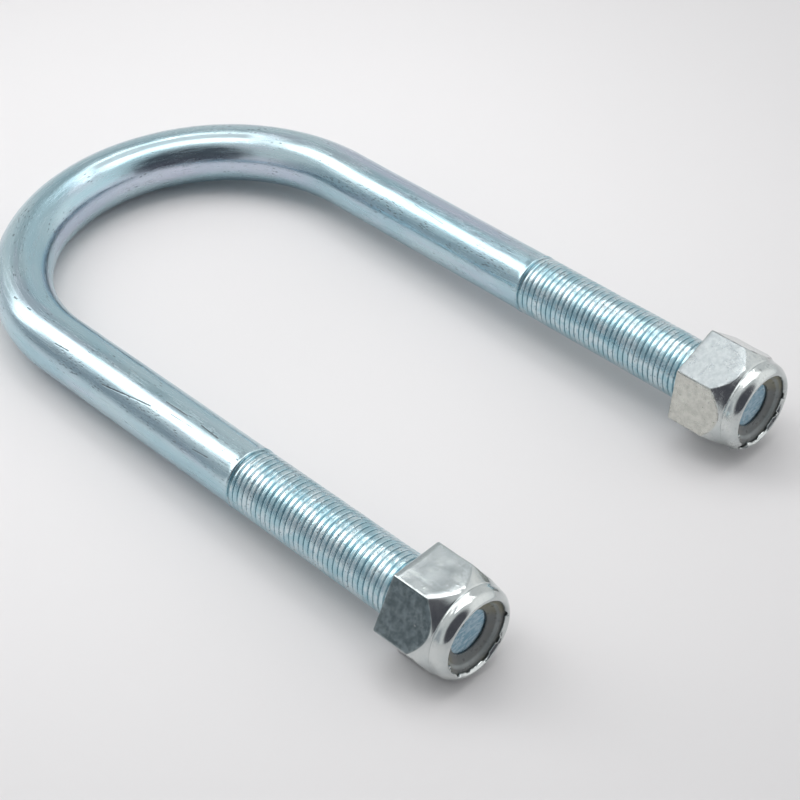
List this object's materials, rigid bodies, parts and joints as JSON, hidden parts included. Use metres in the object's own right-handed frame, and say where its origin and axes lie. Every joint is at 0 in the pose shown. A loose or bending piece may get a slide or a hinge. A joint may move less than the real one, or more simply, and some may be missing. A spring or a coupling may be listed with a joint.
{
  "type": "round bend u-bolt with lock nuts",
  "caption": "Round-bend zinc-plated U-bolt with fine-threaded legs and a nylon-insert lock nut turned onto the end of each leg.",
  "frame": {"origin": "centre of the round bend, on the centreline of the rod, where the axis of a held pipe passes", "axes": "+Y from the leg ends towards the crown of the bend, +X from the left leg to the right leg, +Z square to the plane of the U"},
  "size_m": [0.1007, 0.1615, 0.0216],
  "materials": {
    "rod_zinc": "bright zinc plating with a blue passivated sheen over drawn steel bar",
    "nut_zinc": "zinc plating, tumbled, with nicked edges",
    "nylon": "smooth dark translucent nylon"
  },
  "bodies": {
    "rod": {"u_bolt": "rod_zinc"},
    "left_carrier": {"left_nylon_insert": "nylon"},
    "left_nut": {"left_nut_body": "nut_zinc"},
    "right_carrier": {"right_nylon_insert": "nylon"},
    "right_nut": {"right_nut_body": "nut_zinc"}
  },
  "joints": [
    {"name": "left_nut_travel", "type": "slide", "parent": "rod", "child": "left_carrier", "axis": [0, 1, 0], "range_m": [-0.01239, 0.04065], "deforming": ["left_nylon_insert"]},
    {"name": "left_nut_turn", "type": "hinge", "parent": "left_carrier", "child": "left_nut", "pos_m": [-0.0397, -0.1006, 0], "axis": [0, 1, 0], "range_deg": [-3510, 11520]},
    {"name": "right_nut_travel", "type": "slide", "parent": "rod", "child": "right_carrier", "axis": [0, 1, 0], "range_m": [-0.01239, 0.04065], "deforming": ["right_nylon_insert"]},
    {"name": "right_nut_turn", "type": "hinge", "parent": "right_carrier", "child": "right_nut", "pos_m": [0.0397, -0.1006, 0], "axis": [0, 1, 0], "range_deg": [-3510, 11520]}
  ],
  "couplings": [
    {"joint": "left_nut_travel", "follows": "left_nut_turn", "m_per_rad": 0.00020213},
    {"joint": "right_nut_travel", "follows": "right_nut_turn", "m_per_rad": 0.00020213}
  ]
}
